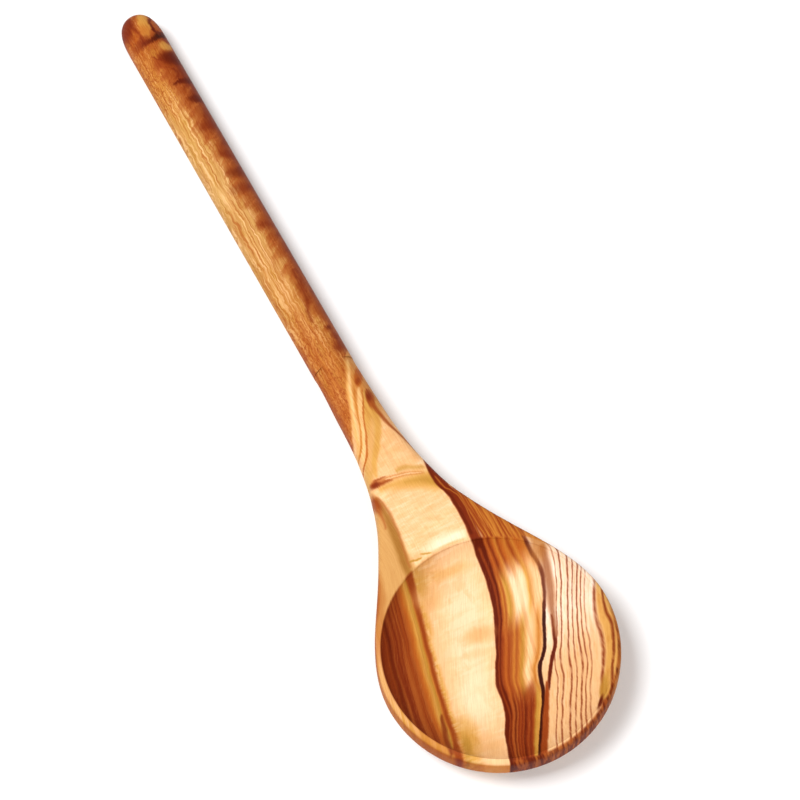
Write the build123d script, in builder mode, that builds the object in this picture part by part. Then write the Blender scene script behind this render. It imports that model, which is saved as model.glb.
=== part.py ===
from build123d import *
import os
from math import atan, degrees, exp, sqrt

# A cooking spoon carved from one piece of olive wood, in millimetres.
# It is carved lying flat, as in its plank, and then laid on its belly and on the
# end of its handle, as on a table. X runs along the spoon from the bowl's tip to
# the handle's end, Z points up, and the origin lies on the table below the middle
# of the spoon.

# Sizes of the whole spoon
spoon_length = 300.0
plank_thickness = 19.0

# Sizes of the bowl
bowl_radius = 37.8
side_height = 12.0
belly_share = 0.46
rim_share = 0.9

# Sizes of the hollow
hollow_radius = 35.6
hollow_depth = 12.5
hollow_side_run = 7.0
hollow_share = 0.44
lip_rounding = 0.9
cut_overrun = 5.0

# Sizes of the neck
neck_length = 110.0
waist_reach = 43.6
belly_reach = 52.0
station_pairs = 6
mirrored_stations = 2

# Sizes of the handle
handle_diameter = 14.1
dome_length = 12.0
dome_share = 0.53

# Places that follow from the sizes
handle_radius = handle_diameter / 2
handle_height = plank_thickness - handle_radius
handle_clearance = plank_thickness - handle_diameter
hollow_floor = plank_thickness - hollow_depth
lip_start = plank_thickness - lip_rounding
handle_length = spoon_length - bowl_radius - neck_length
dome_start = handle_length - dome_length
neck_steps = 2 * station_pairs - mirrored_stations - 1
bowl_middle = Plane.YZ
bowl_axis = Axis.Z

# How far a quarter round bulges from its chord's middle towards its corner
round_share = sqrt(2) - 1


def quarter(start, corner, end, fullness_share):
    """Draw one quarter of a section, from a straight slant at 0 to a sharp corner at 1."""
    weight = fullness_share / (1 - fullness_share)
    return Bezier(start, corner, end, weights=(1, weight, 1))


def half_section(half_width, bottom, side, top, bottom_share, top_share):
    """Draw the half of a cross-section that lies on the positive side."""
    quarter((0, bottom), (half_width, bottom), (half_width, side), bottom_share)
    quarter((half_width, side), (half_width, top), (0, top), top_share)


def neck_section(distance):
    """Draw the whole cross-section at a distance behind the bowl's middle."""
    waist = exp(-((distance / waist_reach) ** 2))
    belly = exp(-((distance / belly_reach) ** 2))
    squareness = (1 - abs(distance / neck_length) ** 3) ** 2
    half_section(
        half_width=handle_radius + (bowl_radius - handle_radius) * waist,
        bottom=handle_clearance * (1 - belly),
        side=handle_height + (side_height - handle_height) * belly,
        top=plank_thickness,
        bottom_share=round_share + (belly_share - round_share) * squareness,
        top_share=round_share + (rim_share - round_share) * squareness,
    )
    mirror(about=Plane.YZ)


# The back half of the bowl and the neck, one skin down to the round handle. Its
# first stations mirror those behind the bowl's middle, so that it leaves the middle
# without a crease, and are cut off. An even number of stations keeps the skin whole.
with BuildPart() as neck:
    for step in range(-mirrored_stations, neck_steps):
        distance = neck_length * step / neck_steps
        with BuildSketch(bowl_middle.offset(distance)):
            with BuildLine():
                neck_section(distance)
            make_face()
    with BuildSketch(bowl_middle.offset(neck_length)):
        with BuildLine():
            half_section(
                half_width=handle_radius,
                bottom=handle_clearance,
                side=handle_height,
                top=plank_thickness,
                bottom_share=round_share,
                top_share=round_share,
            )
            mirror(about=Plane.YZ)
        make_face()
    loft()
    split(bisect_by=bowl_middle, keep=Keep.TOP)

# The spoon as carved, with the bowl's upright axis at the origin
with BuildPart() as carving:
    add(neck.part)

    # The round front half of the bowl
    with BuildSketch(bowl_middle):
        with BuildLine():
            half_section(bowl_radius, 0, side_height, plank_thickness, belly_share, rim_share)
            Line((0, plank_thickness), (0, 0))
        make_face()
    revolve(axis=bowl_axis, revolution_arc=180)

    # The round handle with its domed end
    with BuildSketch(Plane((neck_length, 0, handle_height), x_dir=(1, 0, 0), z_dir=(0, -1, 0))):
        with BuildLine():
            Polyline((handle_length, 0), (0, 0), (0, handle_radius), (dome_start, handle_radius))
            quarter((dome_start, handle_radius), (handle_length, handle_radius),
                    (handle_length, 0), dome_share)
        make_face()
    revolve(axis=Axis((0, 0, handle_height), (1, 0, 0)))

    # The hollow of the bowl, turned round its upright axis, with a rounded lip
    with BuildSketch(bowl_middle):
        with BuildLine():
            quarter((0, hollow_floor), (hollow_radius - hollow_side_run, hollow_floor),
                    (hollow_radius, lip_start), hollow_share)
            quarter((hollow_radius, lip_start), (hollow_radius, plank_thickness),
                    (hollow_radius + lip_rounding, plank_thickness), round_share)
            Polyline((hollow_radius + lip_rounding, plank_thickness),
                     (hollow_radius + lip_rounding, plank_thickness + cut_overrun),
                     (0, plank_thickness + cut_overrun), (0, hollow_floor))
        make_face()
    revolve(axis=bowl_axis, mode=Mode.SUBTRACT)

# The spoon leans back until the end of its handle meets the table as well
rest_span = neck_length + dome_start
contact_distance = (rest_span - sqrt(rest_span**2 - 2 * belly_reach**2)) / 2
rest_slope = (
    2 * contact_distance * handle_clearance / belly_reach**2 * exp(-((contact_distance / belly_reach) ** 2))
)
resting = carving.part.rotate(Axis.Y, degrees(atan(rest_slope)))
box = resting.bounding_box()

with BuildPart() as spoon:
    with Locations((-box.center().X, 0, -box.min.Z)):
        add(resting)

spoon.part.label = "spoon"

os.makedirs("parts", exist_ok=True)
export_step(spoon.part, "parts/spoon.step")
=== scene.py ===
"""A cooking spoon carved from one piece of olive wood, lying on a pale table."""
import logging
from dataclasses import dataclass, replace
from enum import Enum

import bpy
from bpy.types import Light, Material, Node, NodeSocket, Object, World
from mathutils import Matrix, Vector

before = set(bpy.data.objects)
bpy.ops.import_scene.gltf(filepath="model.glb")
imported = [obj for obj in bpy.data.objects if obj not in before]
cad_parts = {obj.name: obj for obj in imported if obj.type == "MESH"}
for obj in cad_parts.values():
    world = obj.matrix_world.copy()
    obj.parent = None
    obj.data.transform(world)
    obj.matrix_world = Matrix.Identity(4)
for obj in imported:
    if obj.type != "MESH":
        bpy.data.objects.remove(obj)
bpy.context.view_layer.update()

log = logging.getLogger("spoon")

Colour = tuple[float, float, float]
Number = float | NodeSocket

MM = 0.001
SPOON_NODE = "spoon"
BRIGHTEST = 255
# The least height that a drawn line is given, so that a level line can be drawn too
LEAST_HEIGHT = 1e-6
# How far a streak fades out at its ends, in millimetres to each side
STREAK_END = 0.5
# The sockets of a node that mixes colours: share, lower colour, upper colour and result
MIX_SHARE, MIX_UNDER, MIX_OVER, MIXED = 0, 6, 7, 2


def tone(red: int, green: int, blue: int) -> Colour:
    """Give a colour as a painter mixes it, as the display shows it.

    Args:
        red: The red share, 0 to 255.
        green: The green share, 0 to 255.
        blue: The blue share, 0 to 255.

    Returns:
        The colour, each share from 0 to 1.
    """
    return red / BRIGHTEST, green / BRIGHTEST, blue / BRIGHTEST


class Sum(Enum):
    """What a math node does with its numbers."""

    ADD = "ADD"
    SUBTRACT = "SUBTRACT"
    MULTIPLY = "MULTIPLY"
    DIVIDE = "DIVIDE"
    MAXIMUM = "MAXIMUM"
    ABSOLUTE = "ABSOLUTE"
    POWER = "POWER"


class Blend(Enum):
    """How one colour is laid over another."""

    COVER = "MIX"
    STAIN = "MULTIPLY"
    BLEACH = "SCREEN"


class Bench:
    """The node tree of a material or the world, with short ways to add to it."""

    def __init__(self, owner: Material | World) -> None:
        """Take the tree of a material or the world and clear it.

        Args:
            owner: What the nodes belong to.
        """
        owner.use_nodes = True
        self.tree = owner.node_tree
        self.tree.nodes.clear()

    def node(self, kind: str) -> Node:
        """Add a node of a kind, such as ShaderNodeMath."""
        return self.tree.nodes.new(kind)

    def feed(self, socket: NodeSocket, value: Number | Colour) -> None:
        """Give an input a link or a fixed value.

        Args:
            socket: The input.
            value: Another node's output, a number or a colour.
        """
        if isinstance(value, NodeSocket):
            self.tree.links.new(value, socket)
        elif isinstance(value, tuple) and socket.type == "RGBA":
            socket.default_value = (*value, 1.0)
        else:
            socket.default_value = value

    def calc(self, sum_: Sum, first: Number, second: Number = 0.0) -> NodeSocket:
        """Work out one number.

        Args:
            sum_: What to do with the numbers.
            first: The first number.
            second: The second number.

        Returns:
            The result.
        """
        node = self.node("ShaderNodeMath")
        node.operation = sum_.value
        self.feed(node.inputs[0], first)
        self.feed(node.inputs[1], second)
        return node.outputs[0]

    def plus(self, first: Number, second: Number) -> NodeSocket:
        """Add two numbers."""
        return self.calc(Sum.ADD, first, second)

    def less(self, first: Number, second: Number) -> NodeSocket:
        """Take the second number away from the first."""
        return self.calc(Sum.SUBTRACT, first, second)

    def times(self, first: Number, second: Number) -> NodeSocket:
        """Multiply two numbers."""
        return self.calc(Sum.MULTIPLY, first, second)

    def over(self, first: Number, second: Number) -> NodeSocket:
        """Divide the first number by the second."""
        return self.calc(Sum.DIVIDE, first, second)

    def step(
        self, value: Number, low: float, high: float, at_low: float = 0.0, at_high: float = 1.0
    ) -> NodeSocket:
        """Rise softly from one number to another while a value crosses a range.

        Args:
            value: The value.
            low: Where the rise starts.
            high: Where it ends.
            at_low: The result up to low.
            at_high: The result from high on.

        Returns:
            The soft step.
        """
        node = self.node("ShaderNodeMapRange")
        node.interpolation_type = "SMOOTHSTEP"
        for name, item in (
            ("Value", value),
            ("From Min", low),
            ("From Max", high),
            ("To Min", at_low),
            ("To Max", at_high),
        ):
            self.feed(node.inputs[name], item)
        return node.outputs["Result"]

    def length(self, first: NodeSocket, second: NodeSocket) -> NodeSocket:
        """Measure how long a line is from how far it reaches in two square directions."""
        return self.calc(Sum.POWER, self.plus(self.times(first, first), self.times(second, second)), 0.5)

    def window(self, value: Number, start: float, full: float, fade: float, end: float) -> NodeSocket:
        """Be 1 between full and fade, and 0 outside start and end."""
        return self.times(self.step(value, start, full), self.step(value, fade, end, 1.0, 0.0))

    def seen(self) -> NodeSocket:
        """Be 1 for what the camera sees straight, in a gloss or through glass."""
        path = self.node("ShaderNodeLightPath").outputs
        straight = self.calc(Sum.MAXIMUM, path["Is Camera Ray"], path["Is Glossy Ray"])
        return self.calc(Sum.MAXIMUM, straight, path["Is Transmission Ray"])

    def level(self, value: Number, low: float, high: float) -> NodeSocket:
        """Bring a range onto 0 to 1, straight and held at its ends."""
        node = self.node("ShaderNodeMapRange")
        self.feed(node.inputs["Value"], value)
        self.feed(node.inputs["From Min"], low)
        self.feed(node.inputs["From Max"], high)
        return node.outputs["Result"]

    def ramp(self, value: Number, stops: tuple[tuple[float, Colour], ...]) -> NodeSocket:
        """Read a colour from a row of colours.

        Args:
            value: Where on the row.
            stops: Each colour's place, in rising order, and the colour.

        Returns:
            The colour.
        """
        first, last = stops[0][0], stops[-1][0]
        level = self.level(value, first, last)
        node = self.node("ShaderNodeValToRGB")
        self.feed(node.inputs[0], level)
        row = node.color_ramp.elements
        while len(row) < len(stops):
            row.new(1.0)
        for element, (place, colour) in zip(row, stops):
            element.position = (place - first) / (last - first)
            element.color = (*colour, 1.0)
        return node.outputs[0]

    def curve(self, value: Number, points: tuple[tuple[float, float], ...]) -> NodeSocket:
        """Follow a smooth line through points.

        Args:
            value: The place along the line.
            points: The line's points, in rising order.

        Returns:
            The line's height at that place.
        """
        places = [place for place, _ in points]
        heights = [height for _, height in points]
        low, high = min(heights), max(heights)
        reach = max(high - low, LEAST_HEIGHT)
        level = self.level(value, places[0], places[-1])
        node = self.node("ShaderNodeFloatCurve")
        self.feed(node.inputs["Value"], level)
        line = node.mapping.curves[0].points
        while len(line) < len(points):
            line.new(0.5, 0.5)
        for knot, (place, height) in zip(line, points):
            knot.location = ((place - places[0]) / (places[-1] - places[0]), (height - low) / reach)
        node.mapping.update()
        return self.plus(self.times(node.outputs["Value"], reach), low)

    def mix(
        self, share: Number, under: NodeSocket | Colour, over: NodeSocket | Colour, blend: Blend = Blend.COVER
    ) -> NodeSocket:
        """Lay one colour over another.

        Args:
            share: How much of the upper colour shows, 0 to 1.
            under: The lower colour.
            over: The upper colour.
            blend: How it is laid.

        Returns:
            The mixed colour.
        """
        node = self.node("ShaderNodeMix")
        node.data_type = "RGBA"
        node.blend_type = blend.value
        node.clamp_factor = True
        self.feed(node.inputs[MIX_SHARE], share)
        self.feed(node.inputs[MIX_UNDER], under)
        self.feed(node.inputs[MIX_OVER], over)
        return node.outputs[MIXED]


@dataclass(frozen=True)
class Place:
    """A place in the wood, in millimetres, at which its colour is worked out.

    Attributes:
        bench: The node tree that works it out.
        x: How far along the spoon it lies.
        y: How far across.
        z: How high.
        radius: How far from the bowl's upright axis.
    """

    bench: Bench
    x: NodeSocket
    y: NodeSocket
    z: NodeSocket
    radius: NodeSocket

    def to(self, **moved: NodeSocket) -> "Place":
        """Give the place with some of its measures changed."""
        return replace(self, **moved)


@dataclass(frozen=True)
class Grain:
    """One kind of cloudy grain in the wood, about 0.5 on average.

    Attributes:
        along: How long its clouds are, in millimetres.
        across: How wide they are, in millimetres.
        up: How high they are, in millimetres.
        start: Where it starts, so that no two kinds look alike.
        detail: How many finer layers are added.
        rough: How strong the finer layers are.
        twist: How much the clouds are warped.
    """

    along: float
    across: float
    up: float
    start: float
    detail: float = 2
    rough: float = 0.6
    twist: float = 0.0

    def read(self, at: Place) -> NodeSocket:
        """Read the grain at a place, from 0 to 1."""
        bench = at.bench
        stretched = (
            bench.plus(bench.over(at.x, self.along), self.start),
            bench.over(at.y, self.across),
            bench.over(at.z, self.up),
        )
        point = bench.node("ShaderNodeCombineXYZ")
        for socket, value in zip(point.inputs, stretched):
            bench.feed(socket, value)
        node = bench.node("ShaderNodeTexNoise")
        bench.feed(node.inputs["Vector"], point.outputs[0])
        node.inputs["Scale"].default_value = 1.0
        node.inputs["Detail"].default_value = self.detail
        node.inputs["Roughness"].default_value = self.rough
        node.inputs["Distortion"].default_value = self.twist
        return node.outputs[0]


@dataclass(frozen=True)
class Streak:
    """One dark or pale line in the wood, seen from above.

    Attributes:
        path: Points of (along, across, half width) in millimetres, from the bowl's tip on.
        colour: Its colour.
        soft: How softly its sides fade, in millimetres.
        share: How strongly it covers what lies under it.
        across: Whether it runs across the spoon, so that its points are (across, along, half width).
    """

    path: tuple[tuple[float, float, float], ...]
    colour: Colour
    soft: float = 0.4
    share: float = 1.0
    across: bool = False

    def lay(self, at: Place, under: NodeSocket) -> NodeSocket:
        """Draw the line over a colour.

        Args:
            at: The place.
            under: The colour that the line is drawn on.

        Returns:
            The colour with the line on it.
        """
        bench = at.bench
        x, y = (at.y, at.x) if self.across else (at.x, at.y)
        middle = bench.curve(x, tuple((place, level) for place, level, _ in self.path))
        width = bench.curve(x, tuple((place, half) for place, _, half in self.path))
        away = bench.calc(Sum.ABSOLUTE, bench.less(y, middle))
        inside = bench.step(bench.less(width, away), -self.soft, self.soft)
        start, end = self.path[0][0], self.path[-1][0]
        reach = bench.window(x, start - STREAK_END, start + STREAK_END, end - STREAK_END, end + STREAK_END)
        share = bench.times(bench.times(inside, reach), self.share)
        return bench.mix(share, under, self.colour)


@dataclass(frozen=True)
class Spot:
    """One blotch in the wood, seen from above.

    Attributes:
        place: Its middle, along and across, in millimetres.
        reach: Half its size, along and across, in millimetres.
        colour: Its colour.
        soft: How much of its reach fades out, as a share.
        share: How strongly it covers what lies under it.
        lean: How far it moves across for each millimetre along.
    """

    place: tuple[float, float]
    reach: tuple[float, float]
    colour: Colour
    soft: float = 0.6
    share: float = 0.8
    lean: float = 0.0

    def lay(self, at: Place, under: NodeSocket) -> NodeSocket:
        """Draw the blotch over a colour.

        Args:
            at: The place.
            under: The colour that the blotch is drawn on.

        Returns:
            The colour with the blotch on it.
        """
        bench = at.bench
        along = bench.less(at.x, self.place[0])
        across = bench.less(bench.less(at.y, self.place[1]), bench.times(along, self.lean))
        away = bench.length(bench.over(along, self.reach[0]), bench.over(across, self.reach[1]))
        share = bench.step(away, 1 - self.soft, 1 + self.soft, self.share, 0.0)
        return bench.mix(share, under, self.colour)


# Colours of the wood
PALE = tone(247, 214, 172)
CREAM = tone(245, 202, 150)
PEACH = tone(241, 190, 138)
TAN = tone(220, 164, 102)
GOLD = tone(210, 154, 74)
OLIVE = tone(184, 134, 56)
AMBER = tone(192, 120, 50)
ORANGE = tone(178, 94, 38)
BARK = tone(162, 84, 38)
RUST = tone(146, 66, 28)
RED_BROWN = tone(120, 46, 22)
MAROON = tone(96, 34, 16)
NIGHT = tone(58, 22, 14)
PINK = tone(248, 214, 180)
# Pale pink clouds of the lined side, partly painted sheen
PALE_PINK_AND_SHEEN = tone(252, 230, 208)
# A painted highlight for the hollow's lip where the neck meets the bowl
PAINTED_LIP_HIGHLIGHT = tone(255, 238, 206)
RIM_GOLD = tone(228, 176, 116)
RIM_BROWN = tone(190, 118, 60)
# Painted shade of the bowl's outer wall, partly its darker end grain
PAINTED_SIDE_SHADE = tone(208, 156, 90)
PANEL_EDGE = tone(206, 154, 92)
FLAME = tone(196, 116, 62)
# How the mixed colours turn into the light that the wood throws back
DISPLAY_GAMMA = 2.25

# The grain of the whole spoon: what sways its lines, its fibres and its pores
SLOW_SWAY = Grain(12, 7, 12, 0, 2, 0.5)
FAST_SWAY = Grain(4.5, 3.0, 6, 31, 3, 0.55)
FIBRE_PULL = Grain(5.0, 0.4, 1.5, 73)
FINE_FIBRES = Grain(9, 0.4, 3, 11, 4, 0.65)
PORES = Grain(3.2, 0.22, 2, 17, 2, 0.5)
# The grain of the bowl
BOWL_CLOUDS = Grain(7, 4, 9, 7, 3)
BOWL_PATCHES = Grain(10, 1.6, 9, 15)
BOWL_THREADS = Grain(40, 0.9, 30, 9)
BOWL_RIPPLE = Grain(2.0, 9.0, 9, 29, 3)
SIDE_MOTTLE = Grain(5, 1.2, 9, 23)
# The grain of the neck
NECK_CLOUDS = Grain(3, 9, 8, 2, 3)
NECK_RIPPLE = Grain(1.6, 6.0, 8, 37, 3, 0.65)
NECK_THREADS = Grain(30, 1.0, 20, 6)
# The grain of the handle
HANDLE_WAVE = Grain(3.0, 6, 6, 4, 2, 0.5)
HANDLE_THREADS = Grain(18, 0.42, 4, 8, 3)
HANDLE_PATCHES = Grain(11, 3, 5, 18)
HANDLE_CURLS = Grain(1.6, 0.7, 2, 91, 2, 0.6, 1.5)
CURL_ALONG = Grain(3.4, 3.4, 6, 41, 3)
CURL_ACROSS = Grain(3.4, 3.4, 6, 57, 3)
TEETH = Grain(3.2, 8, 14, 6, 2, 0.5)
FEATHERS = Grain(0.8, 6, 14, 66, 2, 0.5)

Line = tuple[tuple[float, float], ...]
Row = tuple[tuple[float, Colour], ...]
Marks = tuple[tuple[float, float, float], ...]


@dataclass(frozen=True)
class OliveWood:
    """Oiled olive wood whose figure runs from the bowl through the neck into the handle.

    Each line is given as points of along and across, in millimetres, seen from above.
    Sizes and places are in millimetres too, unless their own line says otherwise.

    Attributes:
        upper_line: The red line above the cream band in the bowl.
        heart_line: The broad maroon streak through the middle of the bowl.
        lower_line: The black line below it.
        outer_line: The dark line near the bowl's lower rim.
        bowl_middle: How far along the bowl's upright axis stands.
        hollow_reach: How far from that axis the hollow's edge lies.
        rim_height: How high the rim stands at the bowl's tip.
        rim_slope: How far the rim sinks for each millimetre along.
        tip_reach: How far the bowl's tip lies from the spoon's middle.
        neck_start: Between which places along the spoon the bowl's wood turns into the neck's.
        bend_right: Between which places across the neck starts nearer the bowl's tip.
        bend: How much nearer it starts there.
        handle_limit: Between which places along the neck the handle's wood may begin.
        fibre_turn: How far before the spoon's middle the bowl's slanting fibres turn.
        soft: How softly two woods meet.
        soft_share: How softly they meet in the bowl, as a share of a band's width.
        gloss: How rough the oiled surface is, from 0 to 1.
        gloss_spread: How much rougher its fibres' crests are than their valleys.
        ior: How strongly the oil bends light.
        shine: How strongly it mirrors, where 0.5 is plain lacquer.
        relief: How deep the grain's relief is, in metres.
        relief_share: How much of the relief shows.
    """

    upper_line: Line = (
        (-150, 32), (-143, 29.5), (-137.5, 27.0), (-133, 25.5), (-130, 24.4), (-125, 23.4), (-120, 22.5),
        (-115, 21.2), (-110, 20.1), (-105, 19.0), (-100, 17.8), (-95, 16.2), (-90, 15.2), (-85, 14.2),
        (-80, 13.2), (-70, 11.0),
    )
    heart_line: Line = (
        (-150, 14.6), (-146, 13.5), (-140, 11.0), (-135, 8.6), (-130, 5.9), (-125, 4.4), (-120, 3.4),
        (-115, 1.2), (-110, -1.6), (-107, -3.3), (-105, -4.2), (-100, -6.9), (-95, -8.8), (-90, -10.0),
        (-86, -10.6), (-80, -10.9), (-70, -11.7),
    )
    lower_line: Line = (
        (-150, 6.2), (-145, 3.2), (-141, 0.8), (-138, -1.2), (-135, -3.2), (-132, -5.2), (-129, -7.0),
        (-127, -8.0), (-125, -8.5), (-123, -9.2), (-120, -10.8), (-118, -12.8), (-115, -15.2),
        (-112, -17.0), (-108, -19.0), (-105, -20.6), (-101, -22.8), (-98, -24.0), (-95, -24.9),
        (-92, -25.0), (-88, -24.4), (-70, -24.0),
    )
    outer_line: Line = (
        (-150, -15.6), (-144, -18.6), (-140, -20.7), (-137, -22.5), (-134, -24.2), (-131, -26.3),
        (-127, -28.7), (-124, -30.0), (-121, -31.2), (-118, -31.8), (-114, -33.0), (-110, -34.8),
        (-106, -37.0), (-96, -42.0), (-70, -54.0),
    )
    bowl_middle: float = -112.0
    hollow_reach: float = 35.9
    rim_height: float = 19.43
    rim_slope: float = 0.0198
    tip_reach: float = 150.0
    neck_start: tuple[float, float] = (-96, -84)
    bend_right: tuple[float, float] = (-12, -20)
    bend: float = 6.0
    handle_limit: tuple[float, float] = (-45, -43)
    fibre_turn: float = 76.0
    soft: float = 0.3
    soft_share: float = 0.02
    gloss: float = 0.5
    gloss_spread: float = 0.16
    ior: float = 1.45
    shine: float = 0.06
    relief: float = 0.00010
    relief_share: float = 0.5

    def make(self, name: str) -> Material:
        """Build the material.

        Args:
            name: The material's name.

        Returns:
            The finished material.
        """
        material = bpy.data.materials.new(name)
        bench = Bench(material)
        coordinates = bench.node("ShaderNodeTexCoord").outputs["Object"]
        grown = bench.node("ShaderNodeVectorMath")
        grown.operation = "SCALE"
        bench.feed(grown.inputs[0], coordinates)
        grown.inputs["Scale"].default_value = 1 / MM
        split = bench.node("ShaderNodeSeparateXYZ")
        bench.feed(split.inputs[0], grown.outputs[0])
        x, y, z = split.outputs
        radius = bench.length(bench.less(x, self.bowl_middle), y)
        at = self.wander(Place(bench, x, y, z, radius))

        # Nodes are made in the order of their use, so that few values are held at once
        bowl = self.bowl(at)
        neck = self.neck(at)
        handle = self.handle(at)
        moved = bench.less(at.x, bench.step(at.y, *self.bend_right, 0.0, self.bend))
        outside = bench.step(radius, self.hollow_reach - 0.4, self.hollow_reach + 0.5)
        colour = bench.mix(bench.times(outside, bench.step(moved, *self.neck_start)), bowl, neck)
        colour = bench.mix(self.handle_start(at), colour, handle)
        colour, fibre = self.fibres(at, colour)

        surface = bench.node("ShaderNodeBsdfPrincipled")
        lit = bench.node("ShaderNodeGamma")
        bench.feed(lit.inputs["Color"], colour)
        lit.inputs["Gamma"].default_value = DISPLAY_GAMMA
        bench.feed(surface.inputs["Base Color"], lit.outputs[0])
        rough = bench.plus(bench.times(fibre, self.gloss_spread), self.gloss - self.gloss_spread / 2)
        bench.feed(surface.inputs["Roughness"], rough)
        surface.inputs["IOR"].default_value = self.ior
        surface.inputs["Specular IOR Level"].default_value = self.shine
        bump = bench.node("ShaderNodeBump")
        bump.inputs["Strength"].default_value = self.relief_share
        bump.inputs["Distance"].default_value = self.relief
        bench.feed(bump.inputs["Height"], fibre)
        bench.feed(surface.inputs["Normal"], bump.outputs[0])
        output = bench.node("ShaderNodeOutputMaterial")
        bench.feed(output.inputs[0], surface.outputs[0])
        return material

    def wander(self, at: Place) -> Place:
        """Shift a place a little, so that no line of the figure is drawn too neatly."""
        bench = at.bench
        slow = SLOW_SWAY.read(at)
        fast = FAST_SWAY.read(at)
        slow_shift = self.sway(bench, slow, 0.9)
        fast_shift = self.sway(bench, fast, 0.55)
        shift = bench.plus(slow_shift, fast_shift)
        fibre = FIBRE_PULL.read(at)
        pulled = bench.times(bench.less(fibre, 0.5), bench.step(at.x, -55, -5, 0.5, 2.2))
        return at.to(x=bench.plus(at.x, pulled), y=bench.plus(at.y, shift))

    def sway(self, bench: Bench, grain: NodeSocket, reach: float) -> NodeSocket:
        """Turn a grain into a shift to both sides, in millimetres from crest to valley."""
        return bench.times(bench.less(grain, 0.5), reach)

    def share_between(self, at: Place, low: NodeSocket, high: NodeSocket) -> NodeSocket:
        """Say how far across, from one line to another, a place lies, without holding it at the ends."""
        bench = at.bench
        return bench.over(bench.less(at.y, low), bench.less(high, low))

    def along(
        self, at: Place, value: NodeSocket, rows: tuple[tuple[float, Row], ...], fade: float
    ) -> NodeSocket:
        """Read rows of colours that hold at places along the spoon, and blend from one to the next.

        Args:
            at: The place.
            value: Where on each row.
            rows: Where each row starts, in rising order, and the row.
            fade: Over how many millimetres two rows blend.

        Returns:
            The colour.
        """
        bench = at.bench
        colour = bench.ramp(value, rows[0][1])
        for start, row in rows[1:]:
            share = bench.step(at.x, start - fade / 2, start + fade / 2)
            colour = bench.mix(share, colour, bench.ramp(value, row))
        return colour

    def lines(self, bench: Bench, value: NodeSocket, places: Marks) -> NodeSocket:
        """Draw thin lines at places of a value.

        Args:
            bench: The node tree.
            value: The value.
            places: Each line's place, half width and strength, in rising order.

        Returns:
            The lines' strength.
        """
        stops: list[tuple[float, Colour]] = []
        for place, half, strength in places:
            stops += [(place - half, (0.0,) * 3), (place, (strength,) * 3), (place + half, (0.0,) * 3)]
        return bench.ramp(value, tuple(stops))

    def bowl(self, at: Place) -> NodeSocket:
        """Colour the bowl: the lined side, the maroon streak, the cream band and the brown side."""
        bench, x, radius = at.bench, at.x, at.radius
        upper = bench.curve(x, self.upper_line)
        heart = bench.curve(x, self.heart_line)
        lower = bench.curve(x, self.lower_line)
        outer = bench.curve(x, self.outer_line)
        in_lines = self.share_between(at, lower, outer)
        in_amber = self.share_between(at, lower, heart)
        in_band = self.share_between(at, heart, upper)
        above = bench.less(at.y, upper)
        cloud = BOWL_CLOUDS.read(at)
        patch = BOWL_PATCHES.read(at)

        # The lined side, whose pale pink clouds are partly painted sheen
        lined = bench.mix(bench.step(cloud, 0.35, 0.65), PINK, PALE_PINK_AND_SHEEN)
        lined = bench.mix(bench.step(x, -108, -126, 0.0, 0.65), lined, TAN)
        lined = bench.mix(bench.times(bench.step(patch, 0.45, 0.7), 0.15), lined, TAN)
        lined = bench.mix(bench.step(in_lines, 0.98, 1.08, 0.0, 0.8), lined, GOLD)
        bold = self.lines(bench, in_lines, LINED_SIDE)
        thin = self.lines(bench, in_lines, LINED_SIDE_FINE)
        fade = bench.step(patch, 0.28, 0.55, 0.4, 0.92)
        lined = bench.mix(bench.times(thin, bench.step(cloud, 0.42, 0.66, 0.0, 0.5)), lined, AMBER)
        lined = bench.mix(bench.times(bold, fade), lined, RED_BROWN)

        # The amber side and the cream band
        threads = BOWL_THREADS.read(at.to(y=above))
        amber = self.along(at, in_amber, AMBER_ROWS, 8)
        amber = bench.mix(bench.step(threads, 0.5, 0.62, 0.0, 0.2), amber, BARK)
        cream = self.along(at, in_band, CREAM_ROWS, 12)
        ripple = BOWL_RIPPLE.read(at)
        cream = bench.mix(bench.times(bench.step(cloud, 0.5, 0.68), 0.7), cream, PEACH)
        cream = bench.mix(bench.step(ripple, 0.45, 0.7, 0.0, 0.45), cream, PEACH)
        cream = bench.mix(bench.step(ripple, 0.5, 0.34, 0.0, 0.4), cream, PALE)

        # The brown side, whose rim is paler
        brown = bench.ramp(above, BROWN_ROW)
        dark = bench.times(bench.step(threads, 0.46, 0.7), bench.step(above, 3.5, 7.0, 0.15, 0.75))
        brown = bench.mix(dark, brown, RED_BROWN)
        rim = bench.mix(bench.step(threads, 0.45, 0.65), RIM_GOLD, GOLD)
        rim = bench.mix(bench.step(x, -118, -130, 0.0, 0.6), rim, AMBER)
        rim = bench.mix(bench.times(bench.window(x, -104, -94, -86, -80), 0.6), rim, RIM_BROWN)
        on_rim = bench.step(radius, self.hollow_reach - 0.5, self.hollow_reach + 0.3, 0.0, 0.9)
        brown = bench.mix(on_rim, brown, rim)

        colour = bench.mix(bench.step(in_amber, -self.soft_share, self.soft_share), lined, amber)
        colour = bench.mix(bench.step(in_band, -self.soft_share, self.soft_share), colour, cream)
        colour = bench.mix(bench.step(above, -self.soft, self.soft), colour, brown)
        for mark in BOWL_MARKS:
            colour = mark.lay(at, colour)
        return self.side(at, in_band, colour)

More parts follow.
